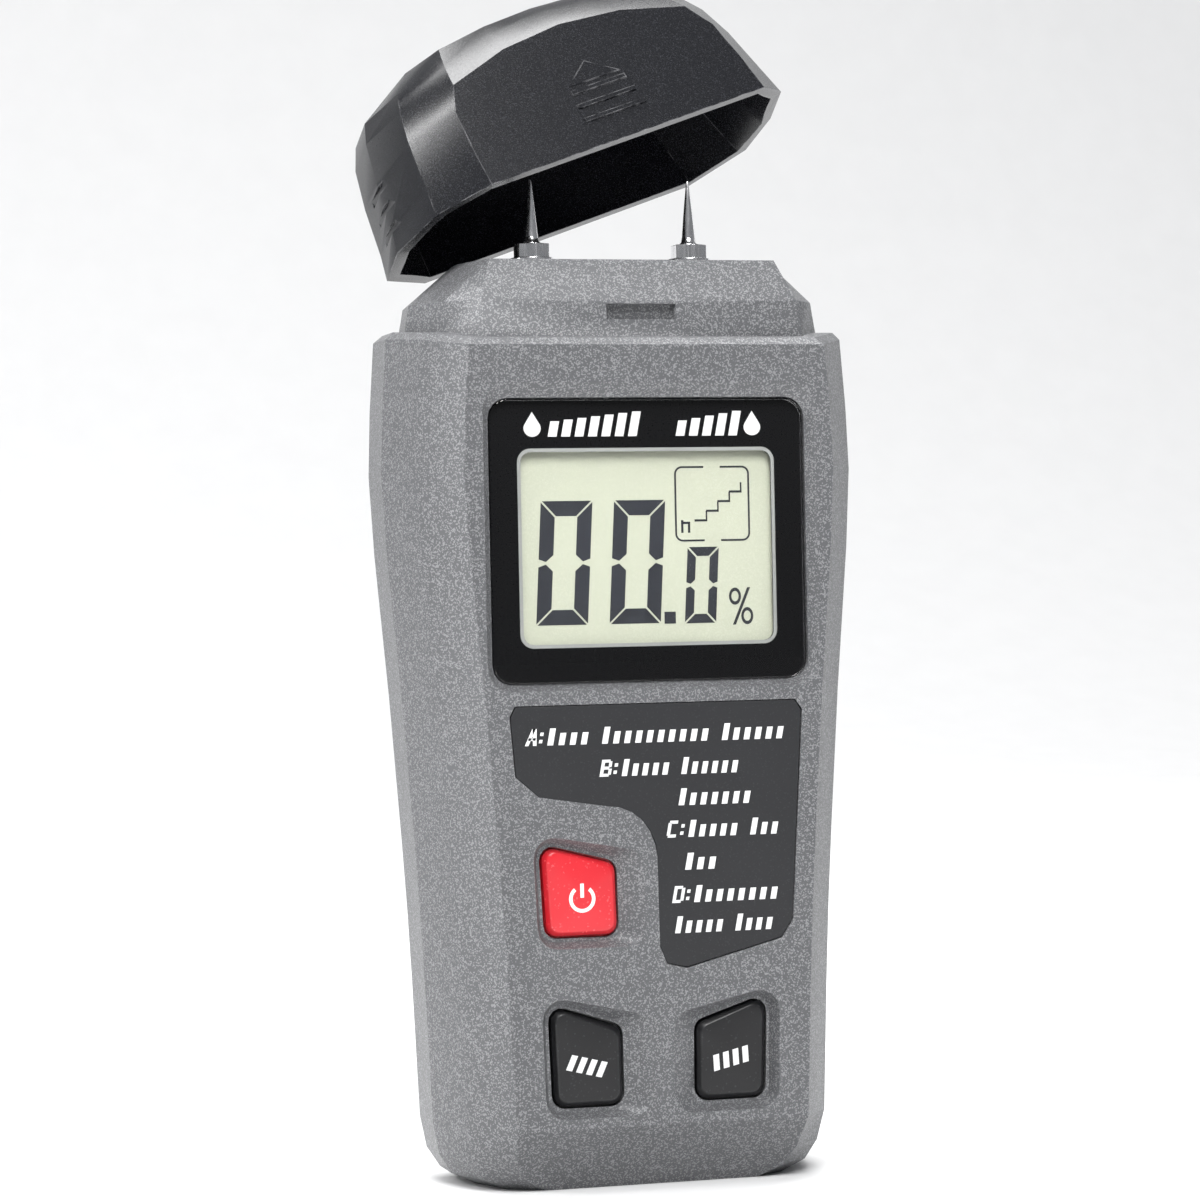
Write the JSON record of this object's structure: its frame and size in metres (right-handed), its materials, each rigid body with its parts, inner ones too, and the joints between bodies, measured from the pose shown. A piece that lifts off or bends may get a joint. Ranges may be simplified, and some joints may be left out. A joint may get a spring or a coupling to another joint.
{
  "type": "wood moisture meter",
  "caption": "Handheld two-pin wood moisture meter with a display, three keys, a species label, a sliding battery door and a pull-off pin cap.",
  "frame": {"origin": "centre of the flat base the meter stands on", "axes": "+Z from the base to the probe pins, -Y out of the display, +X to the reader's right"},
  "size_m": [0.062, 0.0419, 0.1542],
  "materials": {
    "case_paint": "satin metallic-fleck paint on ABS",
    "foam": "foam",
    "screw_steel": "zinc plated",
    "lens": "clear acrylic",
    "black_print": "back-printed black",
    "lcd": "reflective display glass",
    "white_plastic": "moulded",
    "silicone": "elastomer",
    "label": "printed polycarbonate film",
    "red_button": "silicone-coated",
    "black_button": "satin",
    "board": "solder mask",
    "black_plastic": "moulded",
    "block_plastic": "natural nylon",
    "needle_steel": "hardened steel",
    "brass": "turned",
    "wire_red": "insulation",
    "battery_jacket": "printed steel can",
    "cap_plastic": "fine-textured ABS"
  },
  "bodies": {
    "case": {"front_shell": "case_paint", "rear_shell": "case_paint", "case_screws": "screw_steel", "display_lens": "lens", "lens_mask": "black_print", "lcd_glass": "lcd", "lcd_holder": "white_plastic", "zebra_strips": "silicone", "species_label": "label", "main_board": "board", "tact_switches": "black_plastic", "circuit_parts": "black_plastic", "buzzer": "black_plastic", "board_screws": "screw_steel", "electrode_block": "block_plastic", "left_pin": "needle_steel", "right_pin": "needle_steel", "left_pin_nut": "needle_steel", "right_pin_nut": "needle_steel", "pin_sockets": "brass", "electrode_leads": "wire_red", "battery": "battery_jacket", "battery_terminals": "screw_steel", "battery_snap": "black_plastic", "battery_leads": "wire_red"},
    "power_button": {"power_button": "red_button"},
    "mode_button": {"mode_button": "black_button"},
    "hold_button": {"hold_button": "black_button"},
    "battery_door": {"battery_door": "case_paint", "door_pad": "foam"},
    "cap": {"cap": "cap_plastic"}
  },
  "joints": [
    {"name": "cap_off", "type": "hinge", "parent": "case", "child": "cap", "pos_m": [-0.0244, 0.02792, 0.10888], "axis": [0.7242, 0.6487, -0.2339], "range_deg": [0, 33.14]},
    {"name": "power_press", "type": "slide", "parent": "case", "child": "power_button", "axis": [0, 1, 0], "range_m": [0, 0.0008], "stiffness_N_per_m": 300},
    {"name": "mode_press", "type": "slide", "parent": "case", "child": "mode_button", "axis": [0, 1, 0], "range_m": [0, 0.0008], "stiffness_N_per_m": 300},
    {"name": "hold_press", "type": "slide", "parent": "case", "child": "hold_button", "axis": [0, 1, 0], "range_m": [0, 0.0008], "stiffness_N_per_m": 300},
    {"name": "door_slide", "type": "slide", "parent": "case", "child": "battery_door", "axis": [0, 0, -1], "range_m": [0, 0.009]}
  ]
}
